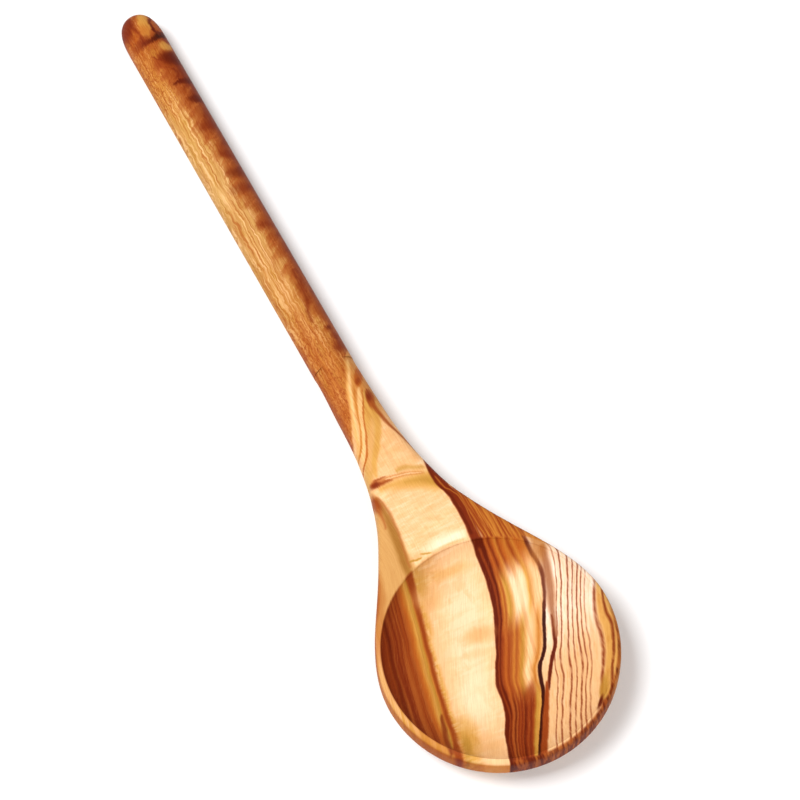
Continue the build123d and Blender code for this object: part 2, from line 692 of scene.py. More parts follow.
    def side(self, at: Place, in_band: NodeSocket, colour: NodeSocket) -> NodeSocket:
        """Darken the bowl's rim and side, partly for the wood's darker end grain and partly as painted shade
        on the outer wall.

        Args:
            at: The place.
            in_band: The share from the maroon streak to the red line, below 0 on the lined side.
            colour: The bowl's colour.

        Returns:
            The colour with its browner rim and side.
        """
        bench, x, radius = at.bench, at.x, at.radius
        top = bench.less(self.rim_height, bench.times(bench.plus(x, self.tip_reach), self.rim_slope))
        depth = bench.less(top, at.z)
        # Painted shade, partly the darker end grain, on the outer wall below the rim
        under = bench.times(bench.step(depth, 0.5, 1.8), bench.step(radius, 36.4, 37.2))
        colour = bench.mix(bench.times(under, 0.9), colour, PAINTED_SIDE_SHADE, Blend.STAIN)
        # Brown on the front rim and wall: partly the wood, partly painted shade
        mottle = SIDE_MOTTLE.read(at)
        brown = bench.mix(bench.step(mottle, 0.4, 0.62), BARK, MAROON)
        front = bench.times(bench.step(x, -112, -126), bench.step(radius, 36.0, 36.9))
        front = bench.times(front, bench.step(in_band, 0.03, -0.03))
        colour = bench.mix(bench.times(front, 0.85), colour, brown)
        # Amber on the lower side wall: partly the wood, partly painted shade
        right = bench.times(bench.step(at.y, -16, -28), bench.step(radius, 36.9, 37.5))
        return bench.mix(bench.times(right, 0.8), colour, AMBER)

    def neck(self, at: Place) -> NodeSocket:
        """Colour the neck: a cream panel with a knot and a painted highlight along the hollow's lip, then
        slanting stripes under the brown handle.
        """
        bench, x, y = at.bench, at.x, at.y
        cloud = NECK_CLOUDS.read(at)
        ripple = NECK_RIPPLE.read(at)
        panel = bench.mix(bench.step(cloud, 0.35, 0.65), CREAM, PEACH)
        panel = bench.mix(bench.step(x, -70, -52), panel, PEACH)
        panel = bench.mix(bench.step(ripple, 0.48, 0.66, 0.0, 0.35), panel, TAN)
        panel = bench.mix(bench.step(ripple, 0.5, 0.36, 0.0, 0.5), panel, PALE)
        # A painted highlight along the hollow's lip on the neck
        lip = bench.window(at.radius, 36.4, 37.4, 38.4, 41.5)
        painted_highlight = bench.times(lip, bench.window(y, -10, -7, 0, 8))
        panel = bench.mix(bench.times(painted_highlight, 0.8), panel, PAINTED_LIP_HIGHLIGHT)
        panel = bench.mix(bench.step(y, 9.0, 11.0), panel, PANEL_EDGE)
        threads = NECK_THREADS.read(at)
        right = bench.step(y, -12.3, -13.3)
        panel = bench.mix(right, panel, bench.mix(bench.step(threads, 0.4, 0.62), AMBER, RUST))
        colour = bench.mix(bench.step(x, -47, -44, 0.0, 0.35), panel, TAN)
        colour = bench.mix(bench.step(x, -30, -18, 0.0, 0.7), colour, AMBER)
        for mark in NECK_MARKS:
            colour = mark.lay(at, colour)
        return colour

    def handle_start(self, at: Place) -> NodeSocket:
        """Say where the handle's brown wood has begun: behind a slanting line across the neck."""
        bench = at.bench
        past = bench.step(bench.less(at.y, bench.curve(at.x, HANDLE_EDGE)), -0.35, 0.35)
        return bench.times(past, bench.step(at.x, *self.handle_limit))

    def handle(self, at: Place) -> NodeSocket:
        """Colour the handle: gold with wavy pale threads, and a dark side with a ragged upper edge, partly
        the wood's figure and partly painted shade.
        """
        bench, x = at.bench, at.x
        wave = HANDLE_WAVE.read(at)
        wavy = at.to(y=bench.plus(at.y, bench.times(wave, 2.0)))
        threads = HANDLE_THREADS.read(wavy)
        patch = HANDLE_PATCHES.read(wavy)
        colour = bench.ramp(x, HANDLE_ROW)
        colour = bench.mix(bench.times(bench.step(patch, 0.5, 0.68), 0.4), colour, OLIVE)
        colour = bench.mix(bench.times(bench.step(patch, 0.5, 0.34), 0.3), colour, TAN)
        bold = bench.window(x, 0, 45, 100, 120)
        bold = bench.plus(bench.times(bold, 0.4), 0.25)
        colour = bench.mix(bench.times(bench.step(threads, 0.52, 0.64), bold), colour, CREAM)
        colour = bench.mix(bench.times(bench.step(threads, 0.48, 0.36), 0.6), colour, BARK)

        # Fine curls next to the neck and by the end
        curls = HANDLE_CURLS.read(at)
        curly = bench.plus(bench.step(x, 30, 5), bench.step(x, 100, 116))
        colour = bench.mix(bench.times(bench.step(curls, 0.5, 0.62, 0.0, 0.6), curly), colour, RUST)

        # The dark side, whose upper edge is ragged: dark figure of the wood, with painted shade that deepens
        # across the side
        curl_x = CURL_ALONG.read(at)
        curl_y = CURL_ACROSS.read(at)
        at = at.to(
            x=bench.plus(at.x, self.sway(bench, curl_x, 3.0)),
            y=bench.plus(at.y, self.sway(bench, curl_y, 2.4)),
        )
        swept = at.to(x=bench.plus(at.x, bench.times(at.y, 0.7)))
        teeth = TEETH.read(swept)
        edge = self.sway(bench, teeth, 8.0)
        edge = bench.plus(edge, bench.curve(at.x, DARK_SIDE))
        depth = bench.less(edge, at.y)
        feather = FEATHERS.read(swept)
        depth = bench.plus(depth, self.sway(bench, feather, 4.0))
        colour = bench.mix(bench.times(bench.step(depth, -1.4, 1.0), 0.6), colour, BARK)
        colour = bench.mix(bench.times(bench.step(depth, 0.4, 2.6), 0.65), colour, RUST)
        colour = bench.mix(bench.times(bench.step(depth, 3.0, 7.0), 0.7), colour, RED_BROWN)
        flames = bench.times(bench.step(feather, 0.52, 0.68), bench.window(depth, -0.5, 1.5, 4.0, 8.0))
        colour = bench.mix(bench.times(flames, 0.45), colour, FLAME)
        for mark in HANDLE_MARKS:
            colour = mark.lay(at, colour)
        return colour

    def fibres(self, at: Place, colour: NodeSocket) -> tuple[NodeSocket, NodeSocket]:
        """Add the fine fibres and pores that run along the wood.

        Args:
            at: The place.
            colour: The wood's colour without them.

        Returns:
            The colour with the fibres, and their height.
        """
        bench, x = at.bench, at.x
        lean = bench.step(x, -92, -60, 0.5, 0.0)
        slanted = at.to(y=bench.plus(at.y, bench.times(bench.plus(x, self.fibre_turn), lean)))
        fine = FINE_FIBRES.read(slanted)
        pores = PORES.read(slanted)
        strong = bench.step(x, -50, -20, 0.5, 1.0)
        valleys = bench.times(bench.step(fine, 0.35, 0.62, 0.16, 0.0), strong)
        colour = bench.mix(valleys, colour, RUST, Blend.STAIN)
        dark_pores = bench.times(bench.step(pores, 0.62, 0.75, 0.0, 0.22), strong)
        colour = bench.mix(dark_pores, colour, RUST, Blend.STAIN)
        colour = bench.mix(bench.step(pores, 0.42, 0.26, 0.0, 0.14), colour, TAN, Blend.BLEACH)
        return colour, fine


# Thin lines of the lined side: place from the black line to the outer one, half width, strength
LINED_SIDE = (
    (0.25, 0.02, 0.85), (0.345, 0.026, 0.95), (0.48, 0.028, 1.0), (0.57, 0.022, 0.85), (0.66, 0.026, 1.0),
    (0.735, 0.022, 0.9), (0.81, 0.022, 0.6), (1.0, 0.045, 1.0), (1.16, 0.036, 1.0), (1.3, 0.045, 0.7),
)
LINED_SIDE_FINE = (
    (0.16, 0.024, 0.6), (0.3, 0.024, 0.7), (0.41, 0.024, 0.8), (0.445, 0.018, 0.6), (0.525, 0.02, 0.6),
    (0.61, 0.024, 0.8), (0.695, 0.02, 0.7), (0.77, 0.02, 0.6), (0.89, 0.034, 0.5), (1.09, 0.05, 0.9),
)
# Rows of colours from the black line up to the maroon streak; one row holds a painted highlight
AMBER_ROWS = (
    (
        -150.0,
        ((0.0, RUST), (0.07, GOLD), (0.18, OLIVE), (0.26, RUST), (0.33, RED_BROWN), (0.4, RUST),
         (0.46, RED_BROWN), (0.51, MAROON), (0.56, RUST), (0.6, RED_BROWN), (0.65, RUST), (0.7, RED_BROWN),
         (0.74, BARK), (0.79, MAROON), (0.84, BARK), (0.89, RUST), (0.95, RED_BROWN)),
    ),
    (
        -126.0,
        ((0.02, PEACH), (0.07, TAN), (0.13, AMBER), (0.2, TAN), (0.27, PEACH), (0.34, CREAM), (0.4, TAN),
         (0.47, OLIVE), (0.54, AMBER), (0.6, BARK), (0.65, AMBER), (0.71, BARK), (0.77, RUST),
         (0.83, ORANGE), (0.89, RUST), (0.95, RED_BROWN)),
    ),
    (
        # Its pale middle is partly painted highlight, a sheen on the hollow's wall, over paler wood
        -104.0,
        ((0.03, PEACH), (0.1, CREAM), (0.17, PEACH), (0.23, TAN), (0.3, GOLD), (0.35, CREAM), (0.42, PALE),
         (0.48, CREAM), (0.54, PALE), (0.61, PALE), (0.66, TAN), (0.73, OLIVE), (0.78, GOLD), (0.82, BARK),
         (0.86, AMBER), (0.91, RUST), (0.96, RED_BROWN)),
    ),
    (
        -89.5,
        ((0.0, AMBER), (0.2, ORANGE), (0.26, AMBER), (0.34, RUST), (0.4, AMBER), (0.5, ORANGE),
         (0.56, RUST), (0.62, AMBER), (0.68, ORANGE), (0.75, RED_BROWN), (0.82, ORANGE), (0.88, RUST),
         (0.95, RED_BROWN)),
    ),
)
# Rows of colours from the maroon streak up to the red line
CREAM_ROWS = (
    (
        -150.0,
        ((0.04, PEACH), (0.1, PEACH), (0.3, CREAM), (0.5, PEACH), (0.6, TAN), (0.7, GOLD), (0.85, OLIVE),
         (0.92, AMBER), (1.0, RUST)),
    ),
    (
        -127.0,
        ((0.04, PEACH), (0.12, CREAM), (0.3, PALE), (0.55, PALE), (0.75, CREAM), (0.86, PEACH),
         (0.93, GOLD), (1.0, AMBER)),
    ),
    (
        -86.0,
        ((0.04, PEACH), (0.2, CREAM), (0.5, PEACH), (0.7, TAN), (0.84, TAN), (0.94, GOLD), (1.0, AMBER)),
    ),
)
# Colours above the red line, by millimetres
BROWN_ROW = (
    (0.3, BARK), (0.9, AMBER), (1.6, OLIVE), (2.6, GOLD), (3.4, AMBER), (4.4, ORANGE), (5.4, BARK),
    (6.4, RUST), (7.6, BARK), (8.6, BARK), (9.8, RED_BROWN), (11.0, BARK), (12.2, MAROON), (13.6, RUST),
    (16.0, RED_BROWN),
)
# The slanting line behind which the neck turns brown
HANDLE_EDGE = (
    (-46, 14), (-40, 11.8), (-35, 9.6), (-30.8, 7.8), (-27.8, 6.6), (-25.1, 5.4), (-21.4, 4.0), (-18, 2.8),
    (-15.8, 2.0), (-13.1, 1.1), (-10.6, 0.0), (-7.9, -1.3), (-4.6, -2.9), (-2, -4.6), (0, -6), (2, -8),
)
# Colours along the handle
HANDLE_ROW = (
    (-40.0, ORANGE),
    (-20.0, tone(184, 108, 48)),
    (0.0, tone(187, 116, 54)),
    (20.0, tone(191, 130, 66)),
    (40.0, tone(195, 142, 78)),
    (70.0, tone(201, 155, 92)),
    (100.0, tone(199, 150, 82)),
    (114.0, tone(197, 136, 66)),
    (128.0, tone(184, 113, 48)),
    (140.0, tone(167, 84, 33)),
)
# How far up the handle's dark side reaches, partly dark figure and partly painted shade
DARK_SIDE = (
    (0, -5.2), (10, -3.2), (22, -1.4), (34, -1.0), (60, -0.6), (85, 0.2), (105, 1.4), (118, 1.8),
    (126, 2.4), (130, -0.6), (134, 0.0), (140, -2.0), (150, 0.0),
)
BOWL_MARKS = (
    # the red line above the cream band, and its dark ends
    Streak(
        ((-139, 27.4, 0.3), (-137.5, 27.0, 1.1), (-135, 26.7, 1.2), (-133, 25.5, 1.0), (-130, 24.5, 0.7),
         (-125, 23.5, 0.7), (-120, 22.5, 0.6), (-110, 20.1, 0.6), (-100, 17.8, 0.7), (-90, 15.2, 0.8),
         (-85, 14.2, 1.0), (-80, 13.3, 1.4), (-76, 13.2, 1.4)),
        RUST, 0.7, 0.95,
    ),
    Streak(
        ((-136, 28.6, 0.3), (-130, 27.4, 0.9), (-126, 26.0, 0.8), (-121, 24.2, 0.2)),
        RED_BROWN, 0.6, 0.8,
    ),
    # the broad maroon streak
    Streak(
        ((-152, 14.9, 0.9), (-146, 13.5, 0.95), (-140, 11.0, 0.95), (-135, 8.6, 1.2), (-130, 5.9, 1.2),
         (-125, 4.3, 1.1), (-120, 3.4, 1.0), (-115, 1.2, 0.9), (-110, -1.6, 0.9), (-107, -3.3, 1.1),
         (-100, -6.9, 1.35), (-95, -8.8, 1.4), (-90, -10.0, 1.5), (-85, -10.6, 1.6), (-75, -11.1, 1.7)),
        MAROON, 0.35,
    ),
    Streak(
        ((-150, 14.2, 0.2), (-140, 10.7, 0.25), (-130, 5.5, 0.3), (-120, 3.1, 0.25), (-110, -1.9, 0.25),
         (-100, -7.3, 0.35), (-90, -10.4, 0.4), (-80, -10.8, 0.4)),
        RUST, 0.3, 0.7,
    ),
    # the black line and its purple end
    Streak(
        ((-152, 7.4, 1.0), (-145, 3.2, 0.8), (-141, 0.8, 0.7), (-135, -3.2, 0.65), (-129, -7.0, 0.7),
         (-125, -8.5, 0.65), (-123, -9.2, 0.65), (-120, -10.8, 0.75), (-118, -12.8, 0.75),
         (-115, -15.2, 0.65), (-108, -19.0, 0.6), (-103, -21.6, 0.45)),
        NIGHT, 0.3,
    ),
    Streak(
        ((-106, -20.1, 0.5), (-101, -22.8, 0.6), (-98, -24.0, 0.65), (-95, -24.9, 0.7), (-92, -25.0, 0.6),
         (-88, -24.4, 0.6), (-80, -24.2, 0.6)),
        tone(94, 42, 30), 0.4, 0.9,
    ),
    # the brown band under it, its branch and the purple shade
    Streak(
        ((-151, 5.6, 1.2), (-145, 2.0, 1.2), (-142.4, 0.2, 1.2), (-138, -2.5, 1.1), (-134.2, -4.9, 1.0),
         (-130, -7.7, 0.8), (-126, -10.0, 0.4)),
        RUST, 0.5,
    ),
    Streak(
        ((-129, -9.2, 0.2), (-125, -11.5, 0.6), (-122, -13.5, 0.75), (-119, -16.0, 0.8),
         (-117, -17.8, 0.7), (-114, -19.2, 0.5), (-108, -21.4, 0.3)),
        MAROON, 0.35,
    ),
    Streak(
        ((-115, -19.6, 0.3), (-108, -21.9, 1.0), (-102, -24.4, 1.3), (-96, -26.4, 1.3), (-89, -28.0, 1.0)),
        tone(146, 84, 50), 0.9, 0.75,
    ),
    Spot((-88.0, -27.2), (5.0, 2.6), tone(178, 112, 54), 0.6, 0.75, -0.35),
    # blotches of the cream band and of the amber side, with painted shade and a painted highlight among them
    Spot((-132, 20.6), (6.5, 2.8), GOLD, 0.8, 0.8, -0.2),
    Spot((-134, 22.4), (3.0, 1.2), OLIVE, 0.7, 0.8, -0.3),
    Spot((-138, 16.0), (4.0, 3.0), TAN, 0.9, 0.6, -0.3),
    Spot((-102.6, 1.4), (2.6, 4.4), tone(232, 174, 116), 0.7, 0.9, 0.3),
    Spot((-107.6, 4.6), (1.6, 3.0), tone(238, 184, 130), 0.8, 0.6, 0.5),
    Spot((-121, 12.0), (7.0, 4.6), tone(250, 222, 180), 0.9, 0.7, -0.3),
    # painted shade, over the wood's tan, on the hollow's wall under its edge by the neck
    Spot((-86.5, 11.0), (3.0, 3.4), TAN, 0.9, 0.7, 0.2),
    Spot((-103, 15.2), (6.0, 1.4), PEACH, 0.6, 0.8, -0.2),
    # painted shade, over the wood's gold and olive tints, on the hollow's wall under its edge by the neck
    # (this spot and the next)
    Spot((-82.0, 0.6), (1.6, 6.0), GOLD, 0.8, 0.4, 1.2),
    Spot((-81.6, 10.2), (3.4, 1.8), OLIVE, 0.8, 0.5, -0.3),
    Spot((-127.0, -3.2), (3.0, 1.6), RUST, 0.8, 0.7, -0.8),
    # a painted highlight on the hollow's wall in the amber side
    Spot((-96.5, -16.4), (4.5, 1.3), PALE, 0.8, 0.7, -0.42),
    # the hook and the amber tongue by the outer line
    Spot((-138.4, -22.2), (3.8, 1.4), OLIVE, 0.5, 0.9, -0.62),
    Spot((-142.0, -18.8), (1.8, 0.7), MAROON, 0.6, 1.0, -0.9),
    Spot((-143.4, -19.8), (1.4, 0.9), RED_BROWN, 0.7, 0.9, -0.4),
)
NECK_MARKS = (
    # the brown edge where the neck turns into the bowl, and two small marks by the hollow's lip
    Streak(
        ((-98, 33.4, 2.4), (-92, 30.8, 2.4), (-87, 28.2, 2.3), (-82.6, 25.4, 2.1), (-79, 23.4, 1.4),
         (-74, 21.2, 0.5), (-68, 18.6, -1.1)),
        tone(178, 112, 56), 1.1, 0.7,
    ),
    Streak(
        ((-92, 31.0, -0.9), (-87, 28.6, 0.2), (-82, 26.0, 0.9), (-78, 23.8, 0.7), (-74, 21.8, 0.2),
         (-69, 19.6, -0.9)),
        RUST, 0.9, 0.6,
    ),
    Streak(
        ((6.9, -75.6, 0.2), (8.6, -75.6, 0.35), (10.2, -75.2, 0.3), (11.0, -75.2, 0.1)),
        OLIVE, 0.3, 0.9, True,
    ),
    Streak(((3.4, -75.6, 0.1), (5.2, -75.0, 0.3), (6.8, -74.4, 0.1)), OLIVE, 0.3, 0.8, True),
    # olive shades on both sides of the knot's crack
    Streak(
        ((-12, -54.8, 4.0), (-8, -53.8, 3.8), (-5, -52.6, 3.2), (-2, -51.4, 2.6), (1, -50.4, 2.0),
         (4, -49.6, 1.4), (8, -49.0, 0.9)),
        GOLD, 2.2, 0.85, True,
    ),
    Streak(
        ((-12, -56.2, 1.6), (-9, -54.6, 1.8), (-6, -52.6, 1.2), (-3, -51.4, 0.5), (0, -50.6, 0.2)),
        OLIVE, 1.4, 0.7, True,
    ),
    Streak(
        ((-8.5, -48.6, 0.5), (-5, -47.2, 0.9), (-2, -46.0, 1.0), (0.5, -46.2, 0.5)),
        OLIVE, 0.9, 0.6, True,
    ),
    # the gold field between the brown line and the peach wood
    Streak(
        ((-47, 10.4, 0.6), (-43, 8.2, 1.8), (-40, 6.3, 2.3), (-35, 2.6, 2.3), (-30, 0.1, 2.6),
         (-25, -2.1, 2.7), (-20, -3.8, 2.4), (-16, -5.0, 1.8)),
        tone(204, 154, 82), 1.2, 0.8,
    ),
    Streak(
        ((-42, 7.2, 0.4), (-38, 5.4, 0.7), (-33, 2.2, 0.8), (-29, 0.2, 0.8), (-26, -1.2, 0.4)),
        TAN, 0.8, 0.7,
    ),
    # the maroon streak's end on the neck, with a pale line in it
    Streak(
        ((-90, -10.2, 1.5), (-78, -10.9, 1.6), (-70, -11.8, 1.5), (-65, -12.0, 1.6), (-60, -11.5, 1.4),
         (-57, -10.6, 1.5), (-54, -10.3, 1.5), (-50, -10.0, 1.1), (-47, -10.0, 0.6), (-44.5, -10.2, 0.1)),
        RED_BROWN, 0.4, 1.0,
    ),
    Streak(
        ((-78, -12.0, 0.1), (-70, -12.9, 0.15), (-65, -13.3, 0.2), (-60, -12.0, 0.2), (-57, -10.4, 0.2),
         (-53, -9.8, 0.15)),
        AMBER, 0.25, 0.7,
    ),
    Streak(
        ((-76, -10.4, 0.4), (-70, -11.0, 0.5), (-64, -11.2, 0.5), (-59, -10.3, 0.4), (-54, -9.0, 0.3),
         (-48, -9.6, 0.3)),
        MAROON, 0.4, 0.8,
    ),
    # the gold shade along the panel's upper side
    Streak(
        ((-79, 13.0, 1.0), (-75, 12.5, 1.3), (-70, 11.6, 1.4), (-63, 10.5, 1.4), (-58, 10.0, 1.2),
         (-54, 10.1, 1.1), (-50.5, 10.7, 0.9)),
        tone(156, 104, 44), 1.0, 0.85,
    ),
    Streak(
        ((-77, 11.6, 0.3), (-70, 10.4, 0.3), (-63, 9.2, 0.3), (-57, 8.8, 0.3), (-51, 9.6, 0.3)),
        BARK, 0.6, 0.6,
    ),
    Spot((-52.6, 10.8), (3.0, 1.1), RUST, 0.7, 0.9),
    Streak(((-62, 12.4, 0.2), (-58, 11.6, 0.4), (-54, 11.4, 0.6), (-50, 11.6, 0.4)), BARK, 0.6, 0.7),
    # the shade beside the knot's crack, the crack and the knot
    Streak(
        ((-7.4, -50.4, 0.3), (-4.8, -49.3, 0.55), (-2.6, -48.4, 0.6), (-0.4, -47.9, 0.65),
         (1.9, -47.4, 0.7), (4.6, -47.1, 0.9), (6.6, -46.9, 1.2), (8.8, -46.2, 1.1)),
        ORANGE, 0.7, 0.6, True,
    ),
    Streak(
        ((-6.9, -50.1, 0.1), (-4.8, -49.3, 0.2), (-2.6, -48.4, 0.25), (-0.4, -47.9, 0.2),
         (1.9, -47.4, 0.25), (4.6, -46.9, 0.2)),
        CREAM, 0.25, 0.8, True,
    ),
    Streak(
        ((2.6, -48.1, 0.1), (4.6, -47.7, 0.3), (6.4, -47.5, 0.5), (8.0, -47.0, 0.9), (9.6, -46.4, 0.6)),
        RUST, 0.8, 0.95, True,
    ),
    Spot((-47.1, 8.2), (0.9, 1.3), RED_BROWN, 0.8, 0.8),
    Streak(((4.0, -46.0, 0.1), (6.0, -45.9, 0.3), (8.0, -45.6, 0.4)), RUST, 0.4, 0.7, True),
    # the gold shades beside the stripes
    Streak(
        ((-45, 6.6, 0.3), (-40.6, 5.0, 0.9), (-37.6, 3.0, 1.0), (-34.1, 0.7, 1.0), (-30.9, -1.3, 1.0),
         (-27, -2.8, 1.0), (-22, -3.6, 0.6)),
        GOLD, 0.6, 0.7,
    ),
    Spot((-23.0, -1.6), (5.5, 1.8), GOLD, 0.7, 0.7, -0.5),
    # the pale stripes, the gold line between them and the brown one below them
    Streak(
        ((-41, 9.4, 0.2), (-37.8, 7.9, 0.5), (-34, 5.6, 0.7), (-30, 3.5, 0.7), (-25, 1.7, 0.8),
         (-20.5, -0.2, 0.8), (-16.4, -1.9, 0.6), (-14, -2.9, 0.3)),
        tone(236, 188, 126), 0.4, 0.9,
    ),
    Streak(
        ((-37, 9.4, 0.4), (-33, 7.0, 0.6), (-30, 5.8, 0.7), (-25, 4.2, 0.7), (-19, 1.9, 0.6),
         (-13.7, 0.1, 0.7), (-11, -1.0, 0.7), (-8.4, -2.3, 0.6), (-5, -3.9, 0.5), (-3.2, -4.8, 0.1)),
        tone(226, 174, 106), 0.5,
    ),
    Streak(
        ((-31, 5.6, 0.1), (-27, 4.5, 0.3), (-23, 3.2, 0.35), (-18, 1.4, 0.35), (-12, -0.7, 0.3),
         (-8, -2.5, 0.1)),
        CREAM, 0.4, 0.5,
    ),
    Streak(
        ((-36.5, 9.0, 0.3), (-34.8, 7.3, 0.5), (-33, 5.9, 0.45), (-30.1, 4.4, 0.35), (-27.2, 3.3, 0.3),
         (-23.2, 2.0, 0.3), (-19.3, 0.7, 0.3), (-16, -0.5, 0.25), (-13.3, -1.6, 0.2)),
        AMBER, 0.3, 0.85,
    ),
    Streak(
        ((-42, 10.4, 0.3), (-39.8, 8.8, 0.4), (-37.8, 6.7, 0.45), (-34.5, 4.7, 0.35), (-31.4, 3.2, 0.3),
         (-28.1, 1.9, 0.25), (-23.8, 0.3, 0.25), (-20.7, -1.1, 0.25), (-18.1, -2.4, 0.2),
         (-15.4, -3.7, 0.15)),
        ORANGE, 0.3, 0.85,
    ),
    # the rusty right edge and the brown patch above it
    Streak(
        ((-46, -11.0, 0.2), (-44.9, -10.6, 0.3), (-38.7, -8.2, 0.35), (-33.8, -6.6, 0.4),
         (-28.9, -5.1, 0.6), (-25.7, -4.5, 0.7), (-22.6, -4.1, 0.8), (-20.1, -3.7, 0.8), (-18, -4.3, 0.7),
         (-15.5, -5.2, 0.2)),
        RUST, 0.5, 0.8,
    ),
    Spot((-19.4, -4.6), (3.4, 1.4), BARK, 0.4, 1.0, -0.3),
    Spot((-18.6, -4.2), (1.7, 0.9), RED_BROWN, 0.7, 0.8, -0.3),
    Spot((-10.4, -4.7), (3.6, 1.6), ORANGE, 0.3, 1.0, -0.5),
    Spot((-12.0, -3.5), (1.2, 0.8), RUST, 0.6, 0.8, -0.55),
)
HANDLE_MARKS = (
    # the reddish upper edge behind the neck
    Streak(
        ((-36, 8.6, 0.2), (-28, 8.0, 0.6), (-15, 7.4, 0.9), (0, 7.2, 0.7), (10, 7.2, 0.2)),
        RUST, 0.9, 0.6,
    ),
    Streak(
        ((-26, 7.4, 0.1), (-18, 5.6, 0.3), (-8, 4.2, 0.4), (2, 3.6, 0.4), (12, 3.6, 0.3), (20, 3.0, 0.1)),
        RUST, 0.6, 0.45,
    ),
    # dark blotches near the neck
    Spot((2.4, -4.8), (2.4, 1.6), RED_BROWN, 0.8, 0.8, -0.3),
    Spot((-1.9, -5.2), (1.3, 0.9), RUST, 0.8, 0.6, -0.3),
    Spot((6.2, -4.8), (1.8, 1.2), RED_BROWN, 0.6, 0.6),
    Spot((9.6, -4.4), (1.2, 0.9), MAROON, 0.6, 0.6),
    Streak(
        ((13, 0.0, 0.1), (17, -1.0, 0.8), (21, -2.4, 0.9), (28, -3.6, 1.0), (34, -4.4, 0.4)),
        RED_BROWN, 1.0, 0.6,
    ),
    # dark feathers along the lower side
    Spot((53.0, -3.6), (1.4, 3.0), RED_BROWN, 0.8, 0.6),
    Spot((69.0, -2.4), (1.6, 3.4), RED_BROWN, 0.8, 0.6),
    Spot((75.5, -3.6), (1.8, 3.0), MAROON, 0.8, 0.5),
    Spot((83.5, -4.0), (1.8, 2.6), RED_BROWN, 0.7, 0.7),
    Spot((96.0, -3.4), (2.0, 3.2), RED_BROWN, 0.8, 0.7),
    Spot((108.0, -4.4), (1.5, 2.6), MAROON, 0.6, 0.8),
    Streak(
        ((-7, 116.4, 1.1), (-4, 116.2, 1.1), (-1.5, 115.9, 0.7), (0.4, 115.5, 0.1)),
        MAROON, 0.6, 0.9, True,
    ),
    Streak(
        ((117.5, -2.0, 0.2), (119.5, -3.2, 0.3), (121.5, -2.8, 0.35), (123, -1.0, 0.35), (124, 0.6, 0.2)),
        RED_BROWN, 0.3, 0.8,
    ),
    Spot((125.2, -0.8), (3.0, 3.0), RUST, 0.7, 0.8, 0.3),
    Spot((126.2, -4.0), (3.0, 3.2), MAROON, 0.5, 0.9, 0.2),
    Streak(((124.6, -2.0, 0.4), (126.7, 0.0, 0.3), (129.0, 1.6, 0.15)), RED_BROWN, 0.4, 0.8),
    Spot((131.6, -4.6), (1.9, 2.2), GOLD, 0.5, 0.85),
    # the end: a gold field between dark lines
    Spot((144.6, 4.4), (4.6, 2.8), RED_BROWN, 0.5, 0.95, -0.3),
    Spot((144.0, -5.4), (4.6, 1.6), ORANGE, 0.6, 0.7),
    Spot((142.8, -1.4), (5.6, 2.0), GOLD, 0.35, 0.9, -0.22),
    Spot((140.2, -0.4), (2.4, 1.6), ORANGE, 0.7, 0.5),
    Streak(
        ((-6.6, 137.2, 0.8), (-3.1, 136.0, 1.2), (-1.5, 135.6, 1.1), (0.6, 135.2, 0.6), (2.6, 134.9, 0.3)),
        NIGHT, 0.8, 0.9, True,
    ),
    Spot((135.6, 1.6), (1.8, 3.4), RED_BROWN, 0.8, 0.8),
    Streak(
        ((136.8, -5.8, 0.8), (138.5, -4.0, 0.8), (140.4, -3.2, 0.4), (143, -3.6, 0.35), (146, -4.6, 0.5),
         (149, -5.2, 0.8)),
        MAROON, 0.5, 0.9,
    ),
    Streak(
        ((135.4, 2.2, 0.2), (137.1, 1.6, 0.25), (139.9, 1.6, 0.3), (142.1, 2.0, 0.4), (145, 2.2, 0.6),
         (148, 2.2, 0.7)),
        RED_BROWN, 0.5, 0.7,
    ),
)


@dataclass
class Spoon:
    """The carved spoon, which keeps its CAD shape and gets its wood.

    Attributes:
        node: The CAD node's name.
        wood: The wood it is carved from.
    """

    node: str = SPOON_NODE
    wood: OliveWood = OliveWood()

    def dress(self) -> Object:
        """Give the CAD node its wood.

        Returns:
            The dressed node.
        """
        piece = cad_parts[self.node]
        piece.data.materials.clear()
        piece.data.materials.append(self.wood.make("olive_wood"))
        return piece


@dataclass
class Table:
    """The pale table that the spoon lies on.

    Attributes:
        half_side: Half its side, in metres.
        colour: Its colour.
        glow: The light that the camera sees on top of it.
        lit_reach: How far from the spoon the lamps still light it well, in metres.
        dim_reach: From where on hardly any of their light reaches it, in metres.
        dim_glow: How many times stronger the glow is from there on.
    """

    half_side: float = 6.0
    colour: Colour = (0.80, 0.81, 0.82)
    glow: Colour = (0.15, 0.125, 0.11)
    lit_reach: float = 0.5
    dim_reach: float = 1.6
    dim_glow: float = 6.0

    def build(self) -> Object:
        """Returns:
            The table top.
        """
        bpy.ops.mesh.primitive_plane_add(size=2 * self.half_side)
        top = bpy.context.object
        top.name = "table"
        top.data.materials.append(self.make("table_top"))
        return top

    def make(self, name: str) -> Material:
        """Build the matt material of the table top.

        Args:
            name: The material's name.

        Returns:
            The finished material.
        """
        material = bpy.data.materials.new(name)
        bench = Bench(material)
        matt = bench.node("ShaderNodeBsdfDiffuse")
        bench.feed(matt.inputs["Color"], self.colour)
        lit = bench.node("ShaderNodeEmission")
        bench.feed(lit.inputs["Color"], self.glow)
        away = bench.node("ShaderNodeVectorMath")
        away.operation = "LENGTH"
        bench.feed(away.inputs[0], bench.node("ShaderNodeTexCoord").outputs["Object"])
        grown = bench.step(away.outputs["Value"], self.lit_reach, self.dim_reach, 1.0, self.dim_glow)
        bench.feed(lit.inputs["Strength"], bench.times(bench.seen(), grown))
        both = bench.node("ShaderNodeAddShader")
        bench.feed(both.inputs[0], matt.outputs[0])
        bench.feed(both.inputs[1], lit.outputs[0])
        output = bench.node("ShaderNodeOutputMaterial")
        bench.feed(output.inputs[0], both.outputs[0])
        return material


